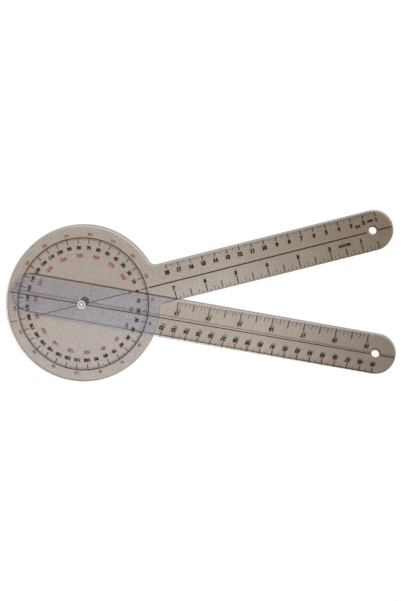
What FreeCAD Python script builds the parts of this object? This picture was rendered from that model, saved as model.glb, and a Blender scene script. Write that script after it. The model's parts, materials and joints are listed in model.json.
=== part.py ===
"""Clear plastic angle finder: a round degree head with a fixed arm, a swinging arm and the snap rivet they turn on.

The frame has its origin on the pivot axis, at the outer face of the rivet's back head. +X runs along the fixed
arm and +Z points from the back of the tool to its printed front. Lengths are in millimetres, angles in degrees.
"""

import os

import FreeCAD
import Part
import Sketcher

SIZES = [
    ("head_diameter", 125.0, "round degree head"),
    ("fixed_reach", 254.0, "pivot to the tip of the fixed arm, 10 in"),
    ("swing_reach", 252.5, "pivot to the tip of the swinging arm"),
    ("tail_reach", 60.0, "pivot to the end of the swinging arm's tail"),
    ("arm_width", 31.0, "both arms"),
    ("sheet_thickness", 1.5, "clear sheet that both arms are cut from"),
    ("neck_fillet", 6.0, "inner corner where the fixed arm leaves the head"),
    ("edge_bevel", 0.2, "broken edge all round both sheets"),
    ("hang_hole_diameter", 6.35, "hole near the tip of each arm, 1/4 in"),
    ("hang_hole_inset", 16.0, "arm tip to the centre of its hole"),
    ("rest_angle", 23.6, "fixed arm's centre line to the swinging arm's"),
    ("sliding_gap", 0.1, "between faces that slide over each other"),
    ("rivet_head_diameter", 6.8, "front and back heads of the rivet"),
    ("rivet_head_thickness", 1.2, "front and back heads of the rivet"),
    ("rivet_rim_round", 0.5, "rounded rim of both heads"),
    ("barrel_diameter", 4.76, "outside of the rivet's sleeve, 3/16 in"),
    ("barrel_running_clearance", 0.08, "radial, sleeve to the swinging arm's hole"),
    ("barrel_seat_clearance", 0.02, "radial, sleeve to the degree head's hole"),
    ("post_diameter", 2.8, "post of the rivet pin"),
    ("post_clearance", 0.05, "radial, post to the sleeve's bore"),
    ("button_diameter", 3.4, "snapped end of the post"),
    ("button_height", 0.7, "snapped end of the post"),
    ("button_round", 0.25, "rounded edge of the snapped end"),
    ("recess_depth", 0.6, "seat of the button in the front head"),
    ("groove_width", 0.35, "open ring round the button in the front head"),
]

# Heights and places shared by more than one piece, as expressions on the sheet of sizes.
DIAL_BASE = "Sizes.rivet_head_thickness"
SWING_BASE = f"{DIAL_BASE} + Sizes.sheet_thickness + Sizes.sliding_gap"
FRONT_BASE = f"{SWING_BASE} + Sizes.sheet_thickness + Sizes.sliding_gap"
FRONT_TOP = f"{FRONT_BASE} + Sizes.rivet_head_thickness"
BUTTON_SEAT = f"{FRONT_TOP} - Sizes.recess_depth"
HALF_WIDTH = "Sizes.arm_width / 2"
FIXED_TIP_CENTRE = f"Sizes.fixed_reach - {HALF_WIDTH}"
SWING_TIP_CENTRE = f"Sizes.swing_reach - {HALF_WIDTH}"
TAIL_CENTRE = f"{HALF_WIDTH} - Sizes.tail_reach"
FIXED_HOLE_CENTRE = "Sizes.fixed_reach - Sizes.hang_hole_inset"
SWING_HOLE_CENTRE = "Sizes.swing_reach - Sizes.hang_hole_inset"
RIVET_HEAD_RADIUS = "Sizes.rivet_head_diameter / 2"
BARREL_RADIUS = "Sizes.barrel_diameter / 2"
POST_RADIUS = "Sizes.post_diameter / 2"
BUTTON_RADIUS = "Sizes.button_diameter / 2"


def make_sheet(doc):
    """Writes every driving size into the spreadsheet, one row each."""
    sheet = doc.addObject("Spreadsheet::Sheet", "Sizes")
    for row, (alias, value, note) in enumerate(SIZES, start=1):
        sheet.set(f"A{row}", alias)
        sheet.set(f"B{row}", str(value))
        sheet.set(f"C{row}", note)
        sheet.setAlias(f"B{row}", alias)
    doc.recompute()
    return sheet


def make_body(doc, label):
    """Starts a body whose label is the name of its node."""
    body = doc.addObject("PartDesign::Body", "Body_" + label)
    body.Label = label
    return body


def make_sketch(body, name, role):
    """Adds a sketch on one of the body's own origin planes."""
    sketch = body.newObject("Sketcher::SketchObject", f"{body.Name}_{name}")
    planes = [plane for plane in body.Origin.OriginFeatures if plane.Role == role]
    sketch.AttachmentSupport = [(planes[0], "")]
    sketch.MapMode = "FlatFace"
    return sketch


def value_of(holder, expression):
    """Gives the present value of an expression on the sheet."""
    return float(holder.evalExpression(expression))


def hold(sketch, kind, target, expression):
    """Adds one constraint and ties its value to an expression."""
    index = sketch.addConstraint(Sketcher.Constraint(kind, *target, value_of(sketch, expression)))
    sketch.setExpression(f"Constraints[{index}]", expression)


def hold_point(sketch, geometry, point, x, y):
    """Ties both coordinates of a point to expressions, measured from the sketch's origin."""
    hold(sketch, "DistanceX", (-1, 1, geometry, point), x)
    hold(sketch, "DistanceY", (-1, 1, geometry, point), y)


def draw_circle(sketch, x, diameter):
    """Draws a circle centred on the sketch's X axis."""
    centre = FreeCAD.Vector(value_of(sketch, x), 0, 0)
    circle = Part.Circle(centre, FreeCAD.Vector(0, 0, 1), value_of(sketch, diameter) / 2)
    index = sketch.addGeometry(circle)
    hold_point(sketch, index, 3, x, "0")
    hold(sketch, "Diameter", (index,), diameter)


def draw_strip(sketch, left_centre, right_centre):
    """Draws the outline of an arm: two straight sides joined by full-round ends."""
    left = value_of(sketch, left_centre)
    right = value_of(sketch, right_centre)
    half = value_of(sketch, HALF_WIDTH)
    point = FreeCAD.Vector
    bottom, tip, top, tail = sketch.addGeometry([
        Part.LineSegment(point(left, -half, 0), point(right, -half, 0)),
        Part.Arc(point(right, -half, 0), point(right + half, 0, 0), point(right, half, 0)),
        Part.LineSegment(point(right, half, 0), point(left, half, 0)),
        Part.Arc(point(left, half, 0), point(left - half, 0, 0), point(left, -half, 0)),
    ])
    hold_point(sketch, bottom, 1, left_centre, f"-{HALF_WIDTH}")
    hold_point(sketch, bottom, 2, right_centre, f"-{HALF_WIDTH}")
    hold_point(sketch, top, 1, right_centre, HALF_WIDTH)
    hold_point(sketch, top, 2, left_centre, HALF_WIDTH)
    joints = [(tip, 1, bottom, 2), (tip, 2, top, 1), (tail, 1, top, 2), (tail, 2, bottom, 1)]
    for joint in joints:
        sketch.addConstraint(Sketcher.Constraint("Coincident", *joint))
    hold(sketch, "DistanceX", (-1, 1, tip, 3), right_centre)
    hold(sketch, "DistanceX", (-1, 1, tail, 3), left_centre)


def draw_profile(sketch, corners):
    """Draws a closed profile with straight sides through corners given as pairs of expressions."""
    points = [FreeCAD.Vector(value_of(sketch, x), value_of(sketch, y), 0) for x, y in corners]
    ends = points[1:] + points[:1]
    sides = sketch.addGeometry([Part.LineSegment(start, end) for start, end in zip(points, ends)])
    for side, (x, y) in zip(sides, corners):
        hold_point(sketch, side, 1, x, y)
    for side, following in zip(sides, sides[1:] + sides[:1]):
        sketch.addConstraint(Sketcher.Constraint("Coincident", side, 2, following, 1))


def pad(body, sketch):
    """Pads a sketch up through the thickness of the sheet."""
    feature = body.newObject("PartDesign::Pad", sketch.Name + "_Pad")
    feature.Profile = sketch
    feature.setExpression("Length", "Sizes.sheet_thickness")
    return feature


def punch(body, sketch):
    """Cuts a sketch right through the sheet and checks that it took material away."""
    body.Document.recompute()
    before = body.Shape.Volume
    feature = body.newObject("PartDesign::Pocket", sketch.Name + "_Pocket")
    feature.Profile = sketch
    feature.Type = "ThroughAll"
    feature.Reversed = True
    body.Document.recompute()
    if body.Shape.Volume >= before:
        raise RuntimeError(f"{feature.Name} cut nothing")
    return feature


def dress(body, kind, name, elements, size_property, expression):
    """Adds a fillet or chamfer on named edges or faces of the body's last feature."""
    last = body.Tip
    feature = body.newObject(f"PartDesign::{kind}", f"{body.Name}_{name}")
    feature.Base = (last, elements)
    feature.setExpression(size_property, expression)
    body.Document.recompute()
    return feature


def flat_faces(shape):
    """Names the faces of a sheet that look straight up or down."""
    names = []
    for index, face in enumerate(shape.Faces, start=1):
        if abs(face.normalAt(0, 0).z) > 0.99:
            names.append(f"Face{index}")
    return names


def neck_edges(shape, x, y):
    """Names the upright edges where the sides of the fixed arm run into the round head."""
    near = 0.01
    names = []
    for index, edge in enumerate(shape.Edges, start=1):
        is_upright = edge.BoundBox.ZLength > near
        if is_upright and all(abs(end.X - x) < near and abs(abs(end.Y) - y) < near for end in edge.Vertexes):
            names.append(f"Edge{index}")
    return names


def rim_edges(shape, radius, height):
    """Names the round edges of a turned piece at one radius and height."""
    near = 0.001
    names = []
    for index, edge in enumerate(shape.Edges, start=1):
        is_circle = isinstance(edge.Curve, Part.Circle)
        if is_circle and abs(edge.Curve.Radius - radius) < near and abs(edge.Curve.Center.z - height) < near:
            names.append(f"Edge{index}")
    return names


def make_dial_arm(doc):
    """The degree head and the fixed arm, cut as one piece from clear sheet."""
    body = make_body(doc, "dial_arm")
    head = make_sketch(body, "Head", "XY_Plane")
    draw_circle(head, "0", "Sizes.head_diameter")
    pad(body, head)
    arm = make_sketch(body, "Arm", "XY_Plane")
    draw_strip(arm, "0", FIXED_TIP_CENTRE)
    pad(body, arm)
    doc.recompute()

    half_width = value_of(body, HALF_WIDTH)
    head_radius = value_of(body, "Sizes.head_diameter / 2")
    neck_x = (head_radius ** 2 - half_width ** 2) ** 0.5
    necks = neck_edges(body.Tip.Shape, neck_x, half_width)
    dress(body, "Fillet", "Necks", necks, "Radius", "Sizes.neck_fillet")

    holes = make_sketch(body, "Holes", "XY_Plane")
    draw_circle(holes, "0", "Sizes.barrel_diameter + 2 * Sizes.barrel_seat_clearance")
    draw_circle(holes, FIXED_HOLE_CENTRE, "Sizes.hang_hole_diameter")
    punch(body, holes)
    dress(body, "Chamfer", "Edges", flat_faces(body.Tip.Shape), "Size", "Sizes.edge_bevel")
    body.setExpression("Placement.Base.z", DIAL_BASE)
    return body


def make_swing_arm(doc):
    """The swinging arm, a strip that lies on the head and reaches across it past the pivot."""
    body = make_body(doc, "swing_arm")
    arm = make_sketch(body, "Arm", "XY_Plane")
    draw_strip(arm, TAIL_CENTRE, SWING_TIP_CENTRE)
    pad(body, arm)
    holes = make_sketch(body, "Holes", "XY_Plane")
    draw_circle(holes, "0", "Sizes.barrel_diameter + 2 * Sizes.barrel_running_clearance")
    draw_circle(holes, SWING_HOLE_CENTRE, "Sizes.hang_hole_diameter")
    punch(body, holes)
    dress(body, "Chamfer", "Edges", flat_faces(body.Tip.Shape), "Size", "Sizes.edge_bevel")
    body.setExpression("Placement.Base.z", SWING_BASE)
    body.setExpression("Placement.Rotation.Angle", "-Sizes.rest_angle")
    return body


def turn(doc, label, corners):
    """Turns a closed half profile round the pivot axis."""
    body = make_body(doc, label)
    profile = make_sketch(body, "Profile", "XZ_Plane")
    draw_profile(profile, corners)
    feature = body.newObject("PartDesign::Revolution", f"{body.Name}_Turned")
    feature.Profile = profile
    feature.ReferenceAxis = (profile, ["V_Axis"])
    doc.recompute()
    return body


def make_rivet_sleeve(doc):
    """The front half of the rivet: a rimmed head on the hollow barrel that both sheets turn on."""
    bore = f"{POST_RADIUS} + Sizes.post_clearance"
    recess = f"{BUTTON_RADIUS} + Sizes.groove_width"
    body = turn(doc, "rivet_sleeve", [
        (bore, DIAL_BASE),
        (BARREL_RADIUS, DIAL_BASE),
        (BARREL_RADIUS, FRONT_BASE),
        (RIVET_HEAD_RADIUS, FRONT_BASE),
        (RIVET_HEAD_RADIUS, FRONT_TOP),
        (recess, FRONT_TOP),
        (recess, BUTTON_SEAT),
        (bore, BUTTON_SEAT),
    ])
    rim = rim_edges(body.Tip.Shape, value_of(body, RIVET_HEAD_RADIUS), value_of(body, FRONT_TOP))
    dress(body, "Fillet", "Rim", rim, "Radius", "Sizes.rivet_rim_round")
    return body


def make_rivet_pin(doc):
    """The back half of the rivet: a head on a post whose button snaps into the front head."""
    button_top = f"{BUTTON_SEAT} + Sizes.button_height"
    body = turn(doc, "rivet_pin", [
        ("0", "0"),
        (RIVET_HEAD_RADIUS, "0"),
        (RIVET_HEAD_RADIUS, DIAL_BASE),
        (POST_RADIUS, DIAL_BASE),
        (POST_RADIUS, BUTTON_SEAT),
        (BUTTON_RADIUS, BUTTON_SEAT),
        (BUTTON_RADIUS, button_top),
        ("0", button_top),
    ])
    rim = rim_edges(body.Tip.Shape, value_of(body, RIVET_HEAD_RADIUS), 0)
    dress(body, "Fillet", "Rim", rim, "Radius", "Sizes.rivet_rim_round")
    crown = rim_edges(body.Tip.Shape, value_of(body, BUTTON_RADIUS), value_of(body, button_top))
    dress(body, "Fillet", "Crown", crown, "Radius", "Sizes.button_round")
    return body


def check(doc, bodies):
    """Stops if any object failed or any piece is not one sound solid."""
    doc.recompute()
    for item in doc.Objects:
        if "Invalid" in item.State or "Error" in item.State:
            raise RuntimeError(f"{item.Name} failed: {item.State}")
    for body in bodies:
        if body.Shape.isNull() or not body.Shape.isValid() or len(body.Shape.Solids) != 1:
            raise RuntimeError(f"{body.Label} is not one valid solid")


def main():
    doc = FreeCAD.newDocument("AngleFinder")
    make_sheet(doc)
    bodies = [make_dial_arm(doc), make_swing_arm(doc), make_rivet_sleeve(doc), make_rivet_pin(doc)]
    check(doc, bodies)
    os.makedirs("parts", exist_ok=True)
    for body in bodies:
        body.Shape.exportStep(f"parts/{body.Label}.step")
        box = body.Shape.BoundBox
        print(f"{body.Label}: {body.Shape.Volume:.1f} mm3, {box.XLength:.2f} x {box.YLength:.2f} x {box.ZLength:.2f}")


main()
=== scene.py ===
import json
import math

import bpy
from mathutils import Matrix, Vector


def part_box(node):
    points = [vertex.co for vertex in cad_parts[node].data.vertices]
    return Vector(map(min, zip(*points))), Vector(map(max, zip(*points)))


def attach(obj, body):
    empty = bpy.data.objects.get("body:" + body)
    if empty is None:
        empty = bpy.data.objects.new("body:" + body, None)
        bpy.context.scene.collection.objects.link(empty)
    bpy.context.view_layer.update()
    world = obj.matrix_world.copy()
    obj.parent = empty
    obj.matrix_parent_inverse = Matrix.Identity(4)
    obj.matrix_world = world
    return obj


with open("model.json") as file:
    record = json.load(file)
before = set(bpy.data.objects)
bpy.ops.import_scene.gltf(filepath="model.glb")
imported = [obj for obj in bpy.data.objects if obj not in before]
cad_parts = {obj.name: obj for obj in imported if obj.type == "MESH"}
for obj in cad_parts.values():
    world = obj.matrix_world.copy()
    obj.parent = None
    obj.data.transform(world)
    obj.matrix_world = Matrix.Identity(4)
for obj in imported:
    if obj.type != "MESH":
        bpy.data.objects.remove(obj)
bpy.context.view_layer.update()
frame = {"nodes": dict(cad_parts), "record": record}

mm = 0.001
print("frame loaded:", len(frame["nodes"]), "solids")


# sizes in mm and the arms' angle at rest in radians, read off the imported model

dialLow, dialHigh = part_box("dial_arm")
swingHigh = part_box("swing_arm")[1]
mounts = {mount["name"]: mount["pos_m"] for mount in frame["record"]["mounts"]}
headRadius = -dialLow.x / mm
fixedReach = dialHigh.x / mm
dialTop = dialHigh.z / mm
swingTop = swingHigh.z / mm
fixedHole = mounts["fixed_arm_hang_hole"][0] / mm
swingHole = math.hypot(*mounts["swing_arm_hang_hole"][:2]) / mm
swingReach = fixedReach + swingHole - fixedHole
restTurn = math.atan2(mounts["swing_arm_hang_hole"][1], mounts["swing_arm_hang_hole"][0])

# sizes in mm that are the same in the part's own source

tailReach = 60.0  # the swinging arm's tail, from the pivot
holeRadius = 3.175
armHalf = 15.5  # half the width of an arm


# camera

cameraChoices = {
    "spot": (0.17739, 0.01545, 0.95445),  # metres
    "turn": (-3.3075, 4.3735, -14.2562),  # degrees
    "focalPixels": 1200.0,
    "longSide": 601,  # pixels
    "sensor": 36.0,  # mm
}


def placeCamera(choices):
    data = bpy.data.cameras.new("studioCamera")
    data.sensor_width = choices["sensor"]
    data.lens = choices["focalPixels"] * choices["sensor"] / choices["longSide"]
    camera = bpy.data.objects.new("studioCamera", data)
    camera.location = choices["spot"]
    camera.rotation_euler = [math.radians(angle) for angle in choices["turn"]]
    bpy.context.collection.objects.link(camera)
    bpy.context.scene.camera = camera


placeCamera(cameraChoices)
print("camera placed")


# node helpers

colourMix = {"data_type": "RGBA"}
noiseSpan = {"From Min": 0.3, "From Max": 0.7}  # where nearly all values of a noise lie


def fromHex(code):
    shares = [int(code[i : i + 2], 16) / 255 for i in (0, 2, 4)]
    return (*[s / 12.92 if s <= 0.04045 else ((s + 0.055) / 1.055) ** 2.4 for s in shares], 1.0)


def addNode(tree, kind, settings=None, **links):
    # settings go to the node or, for numbers and names of sockets, to its inputs
    # links name inputs too, and give each a socket or the hex code of a colour
    node = tree.nodes.new(kind)
    for key, value in (settings or {}).items():
        if isinstance(key, int) or key in node.inputs:
            node.inputs[key].default_value = value
        else:
            setattr(node, key, value)
    for key, source in links.items():
        place = int(key[1:]) if key[1:].isdigit() else key.replace("_", " ")
        if isinstance(source, str):
            node.inputs[place].default_value = fromHex(source)
        else:
            tree.links.new(source, node.inputs[place])
    return node


def lampStandIn(tree, shader, tint):
    # what the lamps meet in place of the shader: a clear face of a tint, a hex code or a socket
    clear = addNode(tree, "ShaderNodeBsdfTransparent", None, Color=tint)
    lamp = addNode(tree, "ShaderNodeLightPath").outputs["Is Shadow Ray"]
    return addNode(tree, "ShaderNodeMixShader", None, _0=lamp, _1=shader, _2=clear.outputs[0]).outputs[0]


def freshMaterial(name):
    material = bpy.data.materials.new(name)
    material.use_nodes = True
    material.node_tree.nodes.clear()
    return material, material.node_tree


# clear PVC sheet, calendered and die cut: thin, faintly warm, glossy on both faces, and
# darker at its cut walls, where the light is led along inside the sheet

sheetChoices = {
    "seen": "F1EEEB",  # tint of one face to the eye, near the head
    "seenLampSide": "F6F5F4",  # the same, painted lighter on the half of the head that is turned to the lamp
    "lampSideFrom": -20.0,  # mm across the tool, where that half is clearest
    "lampSideTo": 14.0,  # mm across the tool, where it ends
    "seenDimTip": "D5CEC4",  # the same at the arm end, darker there as painted shade where the light falls off
    "tipShadeFrom": 115.0,  # mm from the pivot, where the painted shade towards the tip begins
    "tipShadeTo": 250.0,
    "shaded": "D8D3CF",  # tint of one face to the lamps
    "hazeAndReflection": "B9B0A8",  # colour of the milky scatter; over the head the same key holds a painted reflection
    "hazeAndReflectionShare": 0.01,
    "cutTilt": 0.97,  # a face that lies less flat than this is a cut wall
    "cutSeen": "F8F4F0",  # at a cut wall, as are the next three
    "cutShaded": "8A847E",
    "cutHaze": "F0EAE4",
    "cutHazeShare": 0.12,
    "caught": "64241C",  # tint of one face to the lamps beside a cut
    "caughtRound": 0.5,  # mm beside the hang hole
    "hole": "fixed_arm_hang_hole",  # the mount in that hole
    "blotch": 14.0,  # mm, slow variation of the calendered sheet
    "blotchDepth": 0.03,  # share of the tint, up and down
    "mottle": 1.6,  # mm, dust and fine wear, as coarse as it needs to show
    "mottleDepth": 0.06,
    "scuff": 0.8,  # mm between handling scuffs
    "scuffHeight": 0.03,  # mm
    "ior": 1.53,
    "hazeRoughness": 0.35,
    "glossRoughness": 0.12,
}
swingChoices = {
    **sheetChoices,
    "seen": "F5F2EF",
    "seenLampSide": "F5F2EF",
    "seenDimTip": "DAD5D1",
    "tipShadeFrom": 148.0,
    "tipShadeTo": 245.0,
    "caughtLow": 0.25,  # mm beside the cut on the arm's lower side
    "hole": "swing_arm_hang_hole",
    "mottleDepth": 0.045,
}

# the swinging arm where it lies over the head or the fixed arm, painted clearer there against the shade
# of the stacked sheets, with a bluish painted reflection
overlapChoices = {
    "seen": "FAFBFD",
    "shaded": "F9F9FA",
    # bluish painted reflection from between the stacked sheets, in place of the milky scatter
    "hazeAndReflection": "9BBCFF",
    "hazeAndReflectionShare": 0.03,
    "neck": 7.5,  # mm, how softly the outlines of head and fixed arm join
    "caughtHigh": 0.75,  # mm beside the cut on the upper side
    "lineRise": 0.25,  # mm, where the printed line lies over the arm's middle
    "lineWidth": 0.74,  # mm
    "lineShaded": "C0C0C0",  # tint of one face to the lamps under that line
}


def sheetSpots(tree, choices):
    # sockets that say where on the sheet a point lies
    place = addNode(tree, "ShaderNodeTexCoord").outputs["Object"]
    flat = addNode(tree, "ShaderNodeVectorMath", {"operation": "MULTIPLY", 1: (1, 1, 0)}, _0=place)
    reach = addNode(tree, "ShaderNodeVectorMath", {"operation": "LENGTH"}, _0=flat.outputs[0])
    shape = addNode(tree, "ShaderNodeNewGeometry").outputs
    upright = addNode(tree, "ShaderNodeSeparateXYZ", None, Vector=shape["Normal"]).outputs["Z"]
    steep = addNode(tree, "ShaderNodeMath", {"operation": "ABSOLUTE"}, _0=upright).outputs[0]
    tilted = {"operation": "LESS_THAN", 1: choices["cutTilt"]}
    facing = {"operation": "LESS_THAN", 1: 0.5}
    return {
        "place": place,
        "height": addNode(tree, "ShaderNodeSeparateXYZ", None, Vector=place).outputs["Y"],
        "reach": reach.outputs["Value"],  # from the pivot
        "wall": addNode(tree, "ShaderNodeMath", tilted, _0=steep).outputs[0],  # 1 on a cut wall
        # 1 on the side of a face that looks out of the sheet
        "outer": addNode(tree, "ShaderNodeMath", facing, _0=shape["Backfacing"]).outputs[0],
    }


def wornTint(tree, place, choices):
    # slow blotches times a finer mottle, as a factor round 1
    factors = []
    for kind, detail, span in (("blotch", 3.0, {}), ("mottle", 2.0, noiseSpan)):
        noise = {"Scale": 1 / (choices[kind] * mm), "Detail": detail}
        noise = addNode(tree, "ShaderNodeTexNoise", noise, Vector=place)
        depth = choices[kind + "Depth"]
        factor = {**span, "To Min": 1 - depth, "To Max": 1 + depth}
        factor = addNode(tree, "ShaderNodeMapRange", factor, Value=noise.outputs["Fac"])
        factors.append(factor.outputs[0])
    product = {"operation": "MULTIPLY"}
    return addNode(tree, "ShaderNodeMath", product, _0=factors[0], _1=factors[1]).outputs[0]


def overHead(tree, spots, overlap):
    # 1 over the round head or the fixed arm, with the rounded neck between them
    beyond = {"operation": "SUBTRACT", 1: headRadius * mm}
    beyond = addNode(tree, "ShaderNodeMath", beyond, _0=spots["reach"]).outputs[0]
    below = {"operation": "SUBTRACT", 0: -armHalf * mm}
    below = addNode(tree, "ShaderNodeMath", below, _1=spots["height"]).outputs[0]
    joined = {"operation": "SMOOTH_MIN", 2: overlap["neck"] * mm}
    joined = addNode(tree, "ShaderNodeMath", joined, _0=beyond, _1=below).outputs[0]
    return addNode(tree, "ShaderNodeMath", {"operation": "LESS_THAN", 1: 0}, _0=joined).outputs[0]


def aroundHole(tree, spots, choices):
    # 1 beside the cut of the hang hole
    away = {"operation": "DISTANCE", 1: tuple(mounts[choices["hole"]])}
    away = addNode(tree, "ShaderNodeVectorMath", away, _0=spots["place"]).outputs["Value"]
    ring = {"operation": "LESS_THAN", 1: (holeRadius + choices["caughtRound"]) * mm}
    return addNode(tree, "ShaderNodeMath", ring, _0=away).outputs[0]


def alongCuts(tree, beside, inside, choices, overlap):
    # 1 beside the swinging arm's upper cut over the head, and beside its lower cut elsewhere
    low = {"operation": "LESS_THAN", 1: (choices["caughtLow"] - armHalf) * mm}
    low = addNode(tree, "ShaderNodeMath", low, _0=beside).outputs[0]
    high = {"operation": "GREATER_THAN", 1: (armHalf - overlap["caughtHigh"]) * mm}
    high = addNode(tree, "ShaderNodeMath", high, _0=beside).outputs[0]
    return addNode(tree, "ShaderNodeMix", None, _0=inside, _2=low, _3=high).outputs[0]


def underLine(tree, spots, beside, overlap):
    # 1 in the sheet under the printed line, within the head
    line = {"operation": "SUBTRACT", 1: overlap["lineRise"] * mm}
    line = addNode(tree, "ShaderNodeMath", line, _0=beside).outputs[0]
    line = addNode(tree, "ShaderNodeMath", {"operation": "ABSOLUTE"}, _0=line).outputs[0]
    near = {"operation": "LESS_THAN", 1: overlap["lineWidth"] / 2 * mm}
    line = addNode(tree, "ShaderNodeMath", near, _0=line).outputs[0]
    within = {"operation": "LESS_THAN", 1: headRadius * mm}
    within = addNode(tree, "ShaderNodeMath", within, _0=spots["reach"]).outputs[0]
    return addNode(tree, "ShaderNodeMath", {"operation": "MULTIPLY"}, _0=line, _1=within).outputs[0]


def clearSheet(name, choices, overlap=None):
    material, tree = freshMaterial(name)
    spots = sheetSpots(tree, choices)

    # painted light: the half of the head turned to the lamp gets the lighter tint
    low = {"From Min": choices["lampSideFrom"] * mm, "From Max": choices["lampSideTo"] * mm}
    low = {"interpolation_type": "SMOOTHSTEP", **low, "To Min": 1, "To Max": 0}
    low = addNode(tree, "ShaderNodeMapRange", low, Value=spots["height"]).outputs[0]
    # painted shade: the arms darken towards their tips, as if the light fell off there
    tipShade = {"From Min": choices["tipShadeFrom"] * mm, "From Max": choices["tipShadeTo"] * mm}
    tipShade = addNode(tree, "ShaderNodeMapRange", tipShade, Value=spots["reach"]).outputs[0]
    seen = addNode(tree, "ShaderNodeMix", colourMix, _0=low, _6=choices["seen"], _7=choices["seenLampSide"])
    seen = addNode(tree, "ShaderNodeMix", colourMix, _0=tipShade, _6=seen.outputs[2], _7=choices["seenDimTip"])
    looks = {"seen": seen.outputs[2], "shaded": choices["shaded"], "hazeAndReflection": choices["hazeAndReflection"]}
    cloudy = {"To Min": choices["hazeAndReflectionShare"], "To Max": choices["cutHazeShare"]}
    cloudy = addNode(tree, "ShaderNodeMapRange", cloudy, Value=spots["wall"])
    if overlap:
        inside = overHead(tree, spots, overlap)
        for key, look in looks.items():
            look = addNode(tree, "ShaderNodeMix", colourMix, _0=inside, _6=look, _7=overlap[key])
            looks[key] = look.outputs[2]
        # over the head the painted reflection takes a larger share than the sheet's own haze
        veil = {"To Min": choices["hazeAndReflectionShare"], "To Max": overlap["hazeAndReflectionShare"]}
        veil = addNode(tree, "ShaderNodeMapRange", veil, Value=inside)
        tree.links.new(veil.outputs[0], cloudy.inputs["To Min"])
    worn = {"operation": "MULTIPLY"}
    worn = addNode(
        tree, "ShaderNodeVectorMath", worn, _0=looks["seen"], _1=wornTint(tree, spots["place"], choices)
    )
    looks["seen"] = worn.outputs[0]
    for key, cut in (("seen", "cutSeen"), ("shaded", "cutShaded"), ("hazeAndReflection", "cutHaze")):
        look = addNode(tree, "ShaderNodeMix", colourMix, _0=spots["wall"], _6=looks[key], _7=choices[cut])
        looks[key] = look.outputs[2]

    # slanting light stays caught inside the sheet beside a cut and leaves a dark line under it
    caught = aroundHole(tree, spots, choices)
    shaded = looks["shaded"]
    if overlap:
        # distance off the arm's middle line
        beside = {"operation": "DOT_PRODUCT", 1: (-math.sin(restTurn), math.cos(restTurn), 0)}
        beside = addNode(tree, "ShaderNodeVectorMath", beside, _0=spots["place"]).outputs["Value"]
        edge = alongCuts(tree, beside, inside, choices, overlap)
        caught = addNode(tree, "ShaderNodeMath", {"operation": "MAXIMUM"}, _0=caught, _1=edge).outputs[0]
        line = underLine(tree, spots, beside, overlap)
        shaded = addNode(tree, "ShaderNodeMix", colourMix, _0=line, _6=shaded, _7=overlap["lineShaded"])
        shaded = shaded.outputs[2]
    shaded = addNode(tree, "ShaderNodeMix", colourMix, _0=caught, _6=shaded, _7=choices["caught"])

    scuff = {"Scale": 1 / (choices["scuff"] * mm), "Detail": 6.0}
    scuff = addNode(tree, "ShaderNodeTexNoise", scuff, Vector=spots["place"])
    bump = {"Strength": 0.15, "Distance": choices["scuffHeight"] * mm}
    bump = addNode(tree, "ShaderNodeBump", bump, Height=scuff.outputs["Fac"]).outputs[0]
    through = addNode(tree, "ShaderNodeBsdfTransparent", None, Color=looks["seen"]).outputs[0]
    milky = {"Roughness": choices["hazeRoughness"], "IOR": choices["ior"]}
    milky = addNode(tree, "ShaderNodeBsdfPrincipled", milky, Base_Color=looks["hazeAndReflection"], Normal=bump)
    cloudy = cloudy.outputs[0]
    body = addNode(tree, "ShaderNodeMixShader", None, _0=cloudy, _1=through, _2=milky.outputs[0])
    # only the outer side of a face mirrors, so that no light is trapped between sheet and table
    mirrored = addNode(tree, "ShaderNodeFresnel", {"IOR": choices["ior"]}, Normal=bump).outputs[0]
    share = {"operation": "MULTIPLY"}
    share = addNode(tree, "ShaderNodeMath", share, _0=mirrored, _1=spots["outer"]).outputs[0]
    gloss = {"Roughness": choices["glossRoughness"]}
    gloss = addNode(tree, "ShaderNodeBsdfGlossy", gloss, Normal=bump).outputs[0]
    sheet = addNode(tree, "ShaderNodeMixShader", None, _0=share, _1=body.outputs[0], _2=gloss)
    sheet = lampStandIn(tree, sheet.outputs[0], shaded.outputs[2])
    addNode(tree, "ShaderNodeOutputMaterial", None, Surface=sheet)
    return material


# screen-printed vinyl ink: matt, dense, a little uneven where the mesh let less through

inkChoices = {
    "black": "2A170D",
    "red": "8A4C55",
    "shaded": "C4C4C4",  # tint of one face to the lamps, which the thin skin doesn't stop wholly
    "skin": 0.03,  # mm that the ink stands proud
    "grain": 0.35,  # mm, the uneven cover of the screen
    "coverLeast": 0.85,  # share of the colour, least and most
    "coverMost": 1.2,
}


def screenInk(name, colour, choices):
    material, tree = freshMaterial(name)
    place = addNode(tree, "ShaderNodeTexCoord").outputs["Object"]
    grain = {"Scale": 1 / (choices["grain"] * mm), "Detail": 2.0}
    grain = addNode(tree, "ShaderNodeTexNoise", grain, Vector=place)
    cover = {**noiseSpan, "To Min": choices["coverLeast"], "To Max": choices["coverMost"]}
    cover = addNode(tree, "ShaderNodeMapRange", cover, Value=grain.outputs["Fac"])
    tone = {"operation": "SCALE", 0: fromHex(colour)[:3]}
    tone = addNode(tree, "ShaderNodeVectorMath", tone, Scale=cover.outputs[0])
    matt = {"Roughness": 0.6, "IOR": 1.5, "Specular IOR Level": 0.2}
    ink = addNode(tree, "ShaderNodeBsdfPrincipled", matt, Base_Color=tone.outputs[0])
    ink = lampStandIn(tree, ink.outputs[0], choices["shaded"])
    addNode(tree, "ShaderNodeOutputMaterial", None, Surface=ink)
    return material


# moulded nylon 6/6: off-white, satin from the spark-eroded mould, slightly waxy

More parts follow.
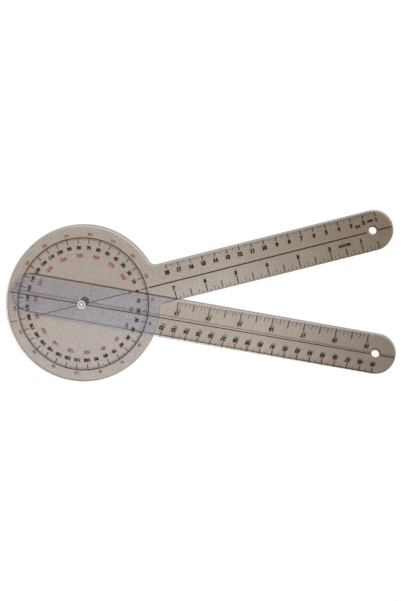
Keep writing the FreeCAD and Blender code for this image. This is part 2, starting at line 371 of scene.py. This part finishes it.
nylonChoices = {
    "bright": "D9D7D3",  # clean and yellowed patches
    "dull": "C6C3BE",
    "cloud": 2.5,  # mm from one patch to the next
    "seamShadeAndDirt": "57524D",  # painted shade and dirt in the seam between the pin's button and the sleeve's head
    "seamRadius": 1.75,  # mm
    "seamWidth": 0.9,  # mm
    "seamDepth": 0.3,  # mm
    "thinFrom": 2.4,  # mm from the axis, where the head thins out and lets light through
    "thinShaded": "E4E2DE",  # tint of that thin part to the lamps
    "texture": 0.15,  # mm, grain of the mould
    "textureDepth": 0.02,  # mm
}


def mouldedNylon(name, choices):
    material, tree = freshMaterial(name)
    place = addNode(tree, "ShaderNodeTexCoord").outputs["Object"]
    cloud = {"Scale": 1 / (choices["cloud"] * mm), "Detail": 3.0}
    cloud = addNode(tree, "ShaderNodeTexNoise", cloud, Vector=place).outputs["Fac"]
    tone = addNode(tree, "ShaderNodeMix", colourMix, _0=cloud, _6=choices["bright"], _7=choices["dull"])
    flat = addNode(tree, "ShaderNodeVectorMath", {"operation": "MULTIPLY", 1: (1, 1, 0)}, _0=place)
    reach = addNode(tree, "ShaderNodeVectorMath", {"operation": "LENGTH"}, _0=flat.outputs[0])
    reach = reach.outputs["Value"]
    # a dark ring at the seam: painted shade in the groove, and dirt
    aside = {"operation": "SUBTRACT", 1: choices["seamRadius"] * mm}
    aside = addNode(tree, "ShaderNodeMath", aside, _0=reach)
    aside = addNode(tree, "ShaderNodeMath", {"operation": "ABSOLUTE"}, _0=aside.outputs[0])
    seamShadeAndDirt = {"interpolation_type": "SMOOTHSTEP", "From Max": choices["seamWidth"] / 2 * mm}
    seamShadeAndDirt = addNode(tree, "ShaderNodeMapRange", seamShadeAndDirt, Value=aside.outputs[0]).outputs[0]
    tone = addNode(tree, "ShaderNodeMix", colourMix, _0=seamShadeAndDirt, _6=choices["seamShadeAndDirt"], _7=tone.outputs[2])
    thin = {"operation": "GREATER_THAN", 1: choices["thinFrom"] * mm}
    thin = addNode(tree, "ShaderNodeMath", thin, _0=reach).outputs[0]
    shaded = addNode(tree, "ShaderNodeMix", colourMix, _0=thin, _6="000000", _7=choices["thinShaded"])
    fine = {"Scale": 1 / (choices["texture"] * mm), "Detail": 2.0}
    fine = addNode(tree, "ShaderNodeTexNoise", fine, Vector=place)
    bump = {"Strength": 0.2, "Distance": choices["textureDepth"] * mm}
    bump = addNode(tree, "ShaderNodeBump", bump, Height=fine.outputs["Fac"])
    groove = {"Strength": 1.0, "Distance": choices["seamDepth"] * mm}
    bump = addNode(tree, "ShaderNodeBump", groove, Height=seamShadeAndDirt, Normal=bump.outputs[0])
    satin = {"Roughness": 0.45, "IOR": 1.53}
    nylon = addNode(
        tree, "ShaderNodeBsdfPrincipled", satin, Base_Color=tone.outputs[2], Normal=bump.outputs[0]
    )
    nylon = lampStandIn(tree, nylon.outputs[0], shaded.outputs[2])
    addNode(tree, "ShaderNodeOutputMaterial", None, Surface=nylon)
    return material


def dressSolid(node, material):
    for slot in bpy.data.objects[node].material_slots:
        slot.material = material


dressSolid("dial_arm", clearSheet("clearPvcSheet", sheetChoices))
dressSolid("swing_arm", clearSheet("clearPvcSheetOverHead", swingChoices, overlapChoices))
nylon = mouldedNylon("mouldedNylon", nylonChoices)
dressSolid("rivet_sleeve", nylon)
dressSolid("rivet_pin", nylon)
blackInk = screenInk("blackScreenInk", inkChoices["black"], inkChoices)
redInk = screenInk("redScreenInk", inkChoices["red"], inkChoices)
print("materials made")


# tools for printed marks: every mark is a thin skin of ink, placed in mm on its sheet

markChoices = {
    "hoopSides": 240,
    "capital": 0.73,  # height of a capital as a share of the font's size
    "tall": 2.0,  # mm, how high a letter is grown before it is pressed flat
    "merge": 0.001,  # mm, points closer than this become one
}


def dropSelection():
    bpy.ops.object.select_all(action="DESELECT")


def thicken():
    bpy.ops.mesh.select_all(action="SELECT")
    bpy.ops.mesh.extrude_region_move(TRANSFORM_OT_translate={"value": (0, 0, inkChoices["skin"] * mm)})


def addBar(left, right, low, high, level):
    dropSelection()
    middle = ((left + right) / 2 * mm, (low + high) / 2 * mm, level * mm)
    bpy.ops.mesh.primitive_plane_add(size=1, location=middle)
    bar = bpy.context.object
    bar.scale = ((right - left) * mm, (high - low) * mm, 1)
    bpy.ops.object.transform_apply(location=True, rotation=False, scale=True)
    bpy.ops.object.mode_set(mode="EDIT")
    thicken()
    bpy.ops.object.mode_set(mode="OBJECT")
    return bar


def repeatAlong(bar, step, count):
    array = bar.modifiers.new("row", "ARRAY")
    array.use_relative_offset = False
    array.use_constant_offset = True
    array.constant_offset_displace = (step * mm, 0, 0)
    array.count = count
    bpy.ops.object.modifier_apply(modifier=array.name)
    return bar


def repeatRound(bar, count):
    bpy.ops.object.mode_set(mode="EDIT")
    bpy.ops.mesh.select_all(action="SELECT")
    turn = 2 * math.pi * (count - 1) / count
    bpy.ops.mesh.spin(steps=count - 1, dupli=True, angle=turn, center=(0, 0, 0), axis=(0, 0, 1))
    bpy.ops.object.mode_set(mode="OBJECT")
    return bar


def addHoop(radius, width, level):
    dropSelection()
    outer = radius + width / 2
    bpy.ops.mesh.primitive_circle_add(
        vertices=markChoices["hoopSides"], radius=outer * mm, location=(0, 0, level * mm)
    )
    hoop = bpy.context.object
    bpy.ops.object.transform_apply(location=True, rotation=False, scale=False)
    bpy.ops.object.mode_set(mode="EDIT")
    bpy.ops.mesh.select_all(action="SELECT")
    bpy.ops.mesh.extrude_edges_move()
    share = (radius - width / 2) / outer
    bpy.ops.transform.resize(value=(share, share, 1))
    thicken()
    bpy.ops.object.mode_set(mode="OBJECT")
    return hoop


def addWord(text, look, across, up, turn, level):
    dropSelection()
    bpy.ops.object.text_add()
    word = bpy.context.object
    word.data.body = text
    word.data.size = look["height"] / markChoices["capital"] * mm
    word.data.resolution_u = 3
    bpy.ops.object.convert(target="MESH")
    bpy.ops.object.origin_set(type="ORIGIN_GEOMETRY", center="BOUNDS")
    word = bpy.context.object
    # the letters are grown as tall solids and then pressed flat, which keeps small counters sound
    bpy.ops.object.mode_set(mode="EDIT")
    bpy.ops.mesh.select_all(action="SELECT")
    bpy.ops.mesh.remove_doubles(threshold=markChoices["merge"] * mm)
    bpy.ops.mesh.extrude_region_move(TRANSFORM_OT_translate={"value": (0, 0, markChoices["tall"] * mm)})
    bpy.ops.mesh.select_all(action="SELECT")
    bpy.ops.mesh.normals_make_consistent(inside=False)
    bpy.ops.transform.shrink_fatten(value=look["stroke"] * mm, use_even_offset=True)
    bpy.ops.object.mode_set(mode="OBJECT")
    bpy.ops.object.origin_set(type="ORIGIN_GEOMETRY", center="BOUNDS")
    word.scale = (look["narrow"], 1, inkChoices["skin"] * mm / word.dimensions.z)
    word.rotation_euler = (0, 0, turn)
    word.location = (across * mm, up * mm, (level + inkChoices["skin"] / 2) * mm)
    bpy.ops.object.transform_apply(location=True, rotation=True, scale=True)
    return word


def finishPrint(name, marks, ink, body, turn=0.0, shift=(0.0, 0.0), shadow=True):
    dropSelection()
    for mark in marks:
        mark.select_set(True)
    bpy.context.view_layer.objects.active = marks[0]
    if len(marks) > 1:
        bpy.ops.object.join()
    piece = bpy.context.object
    piece.name = piece.data.name = name
    piece.rotation_euler = (0, 0, turn)
    piece.location = (shift[0] * mm, shift[1] * mm, 0)
    bpy.ops.object.transform_apply(location=True, rotation=True, scale=True)
    bpy.ops.object.mode_set(mode="EDIT")
    bpy.ops.mesh.select_all(action="SELECT")
    bpy.ops.mesh.remove_doubles(threshold=markChoices["merge"] * mm)
    bpy.ops.mesh.normals_make_consistent(inside=False)
    bpy.ops.object.mode_set(mode="OBJECT")
    piece.data.materials.clear()
    piece.data.materials.append(ink)
    piece.visible_shadow = shadow
    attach(piece, body)
    return piece


# dial print

# radii, widths and heights in mm; a stroke is how far a letter's outline is grown to each side,
# and narrow is a factor on its width
dialChoices = {
    "printShift": (0.66, 0.04),  # mm, how far the print sits beside the pivot
    "printTurn": -0.17,  # degrees
    "redShift": (1.0, 0.0),  # mm, the red ink has a screen of its own
    "blackTurn": -0.4,  # degrees from a tick to the middle of its number
    "hoopRadius": 53.15,
    "hoopWidth": 0.75,
    "tenthTick": (48.5, 0.7),  # inner radius, width
    "fifthTick": (50.5, 0.28),
    "degreeTick": (51.3, 0.26),
    "blackRadius": 45.3,
    "redInner": 39.0,
    "redOuter": 55.9,
    "blackLook": {"height": 2.6, "stroke": 0.3, "narrow": 0.98},
    "redInnerLook": {"height": 2.7, "stroke": 0.22, "narrow": 1.0},
    "redOuterLook": {"height": 2.2, "stroke": 0.2, "narrow": 0.85},
    "baseWidth": 0.55,
    "baseline": ((-37.0, -4.2), (4.2, 37.0), (49.0, 53.0), (-61.5, -55.5)),  # its four parts
}


def printDial(choices):
    level = dialTop
    marks = [addHoop(choices["hoopRadius"], choices["hoopWidth"], level)]
    for key, count in (("tenthTick", 36), ("fifthTick", 72), ("degreeTick", 360)):
        inner, width = choices[key]
        tick = addBar(inner, choices["hoopRadius"], -width / 2, width / 2, level)
        marks.append(repeatRound(tick, count))
    turn = math.radians(choices["printTurn"])
    shift = choices["printShift"]
    finishPrint("dial_ring_and_degrees", marks, blackInk, "fixed", turn, shift, shadow=False)

    half = choices["baseWidth"] / 2
    lines = [addBar(left, right, -half, half, level) for left, right in choices["baseline"]]
    finishPrint("dial_baseline", lines, blackInk, "fixed", turn, shift, shadow=False)

    marks = []
    for tens in range(19):
        for side in (1, -1) if 0 < tens < 18 else (1,):
            angle = math.radians(10 * tens * side + choices["blackTurn"])
            spot = [choices["blackRadius"] * part for part in (math.cos(angle), math.sin(angle))]
            marks.append(
                addWord(str(10 * tens), choices["blackLook"], *spot, angle - math.pi / 2, level)
            )
    finishPrint("dial_black_numerals", marks, blackInk, "fixed", turn, shift, shadow=False)

    marks = []
    for tens in range(36):
        angle = math.radians(-10 * tens)
        ring = "redOuter" if tens % 2 else "redInner"
        radius = choices[ring]
        spot = [radius * part for part in (math.cos(angle), math.sin(angle))]
        marks.append(addWord(str(10 * tens), choices[ring + "Look"], *spot, angle - math.pi / 2, level))
    finishPrint("dial_red_numerals", marks, redInk, "fixed", turn, choices["redShift"], shadow=False)


printDial(dialChoices)
print("dial printed")


# rules on the arms: centimetres along one edge and inches along the other

inchLength = 25.4
ruleLook = {
    "pivotClear": 2.9,  # mm from the pivot to where the line breaks off
    "holeClear": 4.2,  # mm from a hole's centre, the same
    "tipClear": 0.4,  # mm of bare sheet past the line's end
    "numeral": {"height": 3.0, "narrow": 0.95},
    "unit": {"height": 1.8, "stroke": 0.34, "narrow": 1.1},
}
fixedRule = {
    "start": fixedReach - 1.0,  # where the rule counts from, near the arm's tip
    "centimetreNumbers": range(1, 19),
    "inchNumbers": range(1, 8),
    "inchesDivided": 6.5,  # counted from the whole inch nearest the pivot
    "lineFrom": 55.5,  # mm from the pivot, just outside the dial's hoop
    "centimetreWidths": (0.82, 0.36, 0.22),  # mm, long to short
    "inchWidths": (0.8, 0.8, 0.45, 0.38),  # no fifth width: this arm is divided to eighths
    "lineWidth": 1.0,
    "lineRise": -0.12,  # mm, the line over the middle of the arm's marks
    "stroke": 0.44,
    "centimetres": ((11.0, 14.4), (12.2, 14.4), (13.1, 14.4)),  # inner and outer ends, long to short
    "inches": ((7.8, 14.1), (8.6, 14.1), (10.8, 14.1), (12.5, 14.4)),
    "centimetreNumeral": 8.1,  # mm from the arm's middle to the numerals' middle
    "inchNumeral": 5.5,
    "units": (("MM", 238.3, 8.3), ("CM", 227.7, 6.2), ("INCHES", 214.6, -5.5)),
}
swingRule = {
    "start": 0.14 - fixedReach,  # the count runs on from the fixed arm, over the pivot
    "centimetreNumbers": range(32, 50),
    "inchNumbers": range(13, 20),
    "inchesDivided": 6,
    "centimetreWidths": (0.6, 0.3, 0.2),
    "inchWidths": (0.55, 0.62, 0.44, 0.36, 0.24),
    "lineWidth": 0.74,
    "lineRise": 0.12,
    "stroke": 0.3,
    "centimetres": ((10.6, 15.2), (12.3, 15.2), (13.6, 15.2)),
    "inches": ((7.9, 14.9), (8.7, 14.8), (11.0, 14.8), (11.9, 14.8), (13.5, 15.1)),
    "centimetreNumeral": 7.9,
    "inchNumeral": 5.5,
    "printShift": (0.05, 0.12),  # mm, how far the print sits off the arm's own middle
    "printTurn": -0.09,  # degrees
}


def lineSides(rule):
    return [rule["lineRise"] + side * rule["lineWidth"] / 2 for side in (-1, 1)]


def addTicks(ends, width, first, step, count, side, level):
    low, high = sorted(end * side for end in ends)
    tick = addBar(first - width / 2, first + width / 2, low, high, level)
    return repeatAlong(tick, step, count)


def centimetreTicks(rule, first, side, level):
    widths = rule["centimetreWidths"]
    long, middle, short = rule["centimetres"]
    covered = len(rule["centimetreNumbers"]) - 1
    return [
        addTicks(long, widths[0], first, 10, covered + 1, side, level),
        addTicks(middle, widths[1], first + 5, 10, covered, side, level),
        addTicks(short, widths[2], first, 1, 10 * covered + 1, side, level),
    ]


def inchTicks(rule, first, side, level):
    # first is the whole inch nearest the pivot
    half = inchLength / 2
    covered = rule["inchesDivided"]
    rows = (
        (first, inchLength, len(rule["inchNumbers"])),
        (first + half, inchLength, math.ceil(covered)),
        (first + half / 2, half, round(2 * covered)),
        (first + half / 4, half / 2, round(4 * covered)),
        (first + half / 8, half / 4, round(8 * covered)),
    )
    sizes = zip(rule["inches"], rule["inchWidths"], rows)
    return [addTicks(ends, width, *row, side, level) for ends, width, row in sizes]


def printFixedArm(rule, look):
    level = dialTop
    low, high = lineSides(rule)
    breaks = (fixedHole - look["holeClear"], fixedHole + look["holeClear"])
    lines = [
        addBar(rule["lineFrom"], breaks[0], low, high, level),
        addBar(breaks[1], fixedReach - look["tipClear"], low, high, level),
    ]
    finishPrint("fixed_arm_centre_line", lines, blackInk, "fixed", shadow=False)

    numeral = {**look["numeral"], "stroke": rule["stroke"]}
    marks = centimetreTicks(rule, rule["start"] - 10 * rule["centimetreNumbers"][-1], 1, level)
    for count in rule["centimetreNumbers"]:
        spot = rule["start"] - 10 * count
        marks.append(addWord(str(count), numeral, spot, rule["centimetreNumeral"], 0, level))
    for text, across, up in rule["units"][:2]:
        marks.append(addWord(text, look["unit"], across, up, 0, level))
    finishPrint("fixed_arm_centimetres", marks, blackInk, "fixed", shadow=False)

    marks = inchTicks(rule, rule["start"] - inchLength * rule["inchNumbers"][-1], -1, level)
    for count in rule["inchNumbers"]:
        spot = rule["start"] - inchLength * count
        marks.append(addWord(str(count), numeral, spot, -rule["inchNumeral"], 0, level))
    text, across, up = rule["units"][2]
    marks.append(addWord(text, look["unit"], across, up, 0, level))
    finishPrint("fixed_arm_inches", marks, blackInk, "fixed", shadow=False)


def printSwingArm(rule, look):
    level = swingTop
    turn = restTurn + math.radians(rule["printTurn"])
    low, high = lineSides(rule)
    breaks = (swingHole - look["holeClear"], swingHole + look["holeClear"])
    pointer = [
        addBar(look["tipClear"] - tailReach, -look["pivotClear"], low, high, level),
        addBar(look["pivotClear"], headRadius, low, high, level),
    ]
    shift = rule["printShift"]
    finishPrint("swing_arm_pointer_line", pointer, blackInk, "swinging", turn, shift, shadow=False)
    lines = [
        addBar(headRadius, breaks[0], low, high, level),
        addBar(breaks[1], swingReach - look["tipClear"], low, high, level),
    ]
    finishPrint("swing_arm_centre_line", lines, blackInk, "swinging", turn, shift)

    numeral = {**look["numeral"], "stroke": rule["stroke"]}
    marks = centimetreTicks(rule, rule["start"] + 10 * rule["centimetreNumbers"][0], -1, level)
    for count in rule["centimetreNumbers"]:
        spot = rule["start"] + 10 * count
        marks.append(addWord(str(count), numeral, spot, -rule["centimetreNumeral"], math.pi, level))
    finishPrint("swing_arm_centimetres", marks, blackInk, "swinging", turn, shift)

    marks = inchTicks(rule, rule["start"] + inchLength * rule["inchNumbers"][0], 1, level)
    for count in rule["inchNumbers"]:
        spot = rule["start"] + inchLength * count
        marks.append(addWord(str(count), numeral, spot, rule["inchNumeral"], math.pi, level))
    finishPrint("swing_arm_inches", marks, blackInk, "swinging", turn, shift)


printFixedArm(fixedRule, ruleLook)
printSwingArm(swingRule, ruleLook)
print("arms printed")


# floor and light

studioChoices = {
    "floorSize": 12.0,  # metres
    "floorDrop": 0.08,  # mm under the rivet's back head
    "floorSlope": (0.003, -0.0185),  # the table top rises to the swinging arm's tip
    "floor": "FAFAF9",
    "fibre": 1.1111,  # mm, the paper's grain, as coarse as it needs to show
    "keyLight": {"from": (-0.46, -0.38, 1.0), "power": 3.25, "spread": 5.0},  # degrees across
    "fillLight": {"from": (0.7, 0.5, 1.0), "power": 0.45, "spread": 60.0},
    "sky": 0.085,  # strength of the room's own light
}


def floorPaper(choices):
    material, tree = freshMaterial("palePaper")
    place = addNode(tree, "ShaderNodeTexCoord").outputs["Object"]
    fibre = {"Scale": 1 / (choices["fibre"] * mm), "Detail": 3.0}
    fibre = addNode(tree, "ShaderNodeTexNoise", fibre, Vector=place)
    cover = {"To Min": 0.98, "To Max": 1.02}
    cover = addNode(tree, "ShaderNodeMapRange", cover, Value=fibre.outputs["Fac"])
    tone = {"operation": "SCALE", 0: fromHex(choices["floor"])[:3]}
    tone = addNode(tree, "ShaderNodeVectorMath", tone, Scale=cover.outputs[0])
    matt = {"Roughness": 0.9, "Specular IOR Level": 0.1}
    paper = addNode(tree, "ShaderNodeBsdfPrincipled", matt, Base_Color=tone.outputs[0])
    addNode(tree, "ShaderNodeOutputMaterial", None, Surface=paper.outputs[0])
    return material


def setStudio(choices):
    dropSelection()
    drop = choices["floorDrop"] * mm
    bpy.ops.mesh.primitive_plane_add(size=choices["floorSize"], location=(0, 0, -drop))
    floor = bpy.context.object
    floor.name = "studio_floor"
    along, across = choices["floorSlope"]
    floor.rotation_euler = (math.atan(across), -math.atan(along), 0)
    bpy.ops.object.transform_apply(location=True, rotation=True, scale=False)
    floor.data.materials.append(floorPaper(choices))

    for name in ("keyLight", "fillLight"):
        sun = bpy.data.lights.new(name, "SUN")
        sun.energy = choices[name]["power"]
        sun.angle = math.radians(choices[name]["spread"])
        lamp = bpy.data.objects.new(name, sun)
        east, north, up = choices[name]["from"]
        lamp.rotation_euler = (0, math.atan2(math.hypot(east, north), up), math.atan2(north, east))
        bpy.context.collection.objects.link(lamp)

    world = bpy.data.worlds.new("softRoom")
    world.use_nodes = True
    world.node_tree.nodes.clear()
    tree = world.node_tree
    room = addNode(tree, "ShaderNodeBackground", {"Strength": choices["sky"]})
    backdrop = addNode(tree, "ShaderNodeBackground", {"Strength": 1.0})
    cameraRay = addNode(tree, "ShaderNodeLightPath").outputs["Is Camera Ray"]
    both = addNode(
        tree, "ShaderNodeMixShader", None, _0=cameraRay, _1=room.outputs[0], _2=backdrop.outputs[0]
    )
    addNode(tree, "ShaderNodeOutputWorld", None, Surface=both.outputs[0])
    bpy.context.scene.world = world
    bpy.context.scene.view_settings.view_transform = "Standard"


setStudio(studioChoices)
print("studio set")
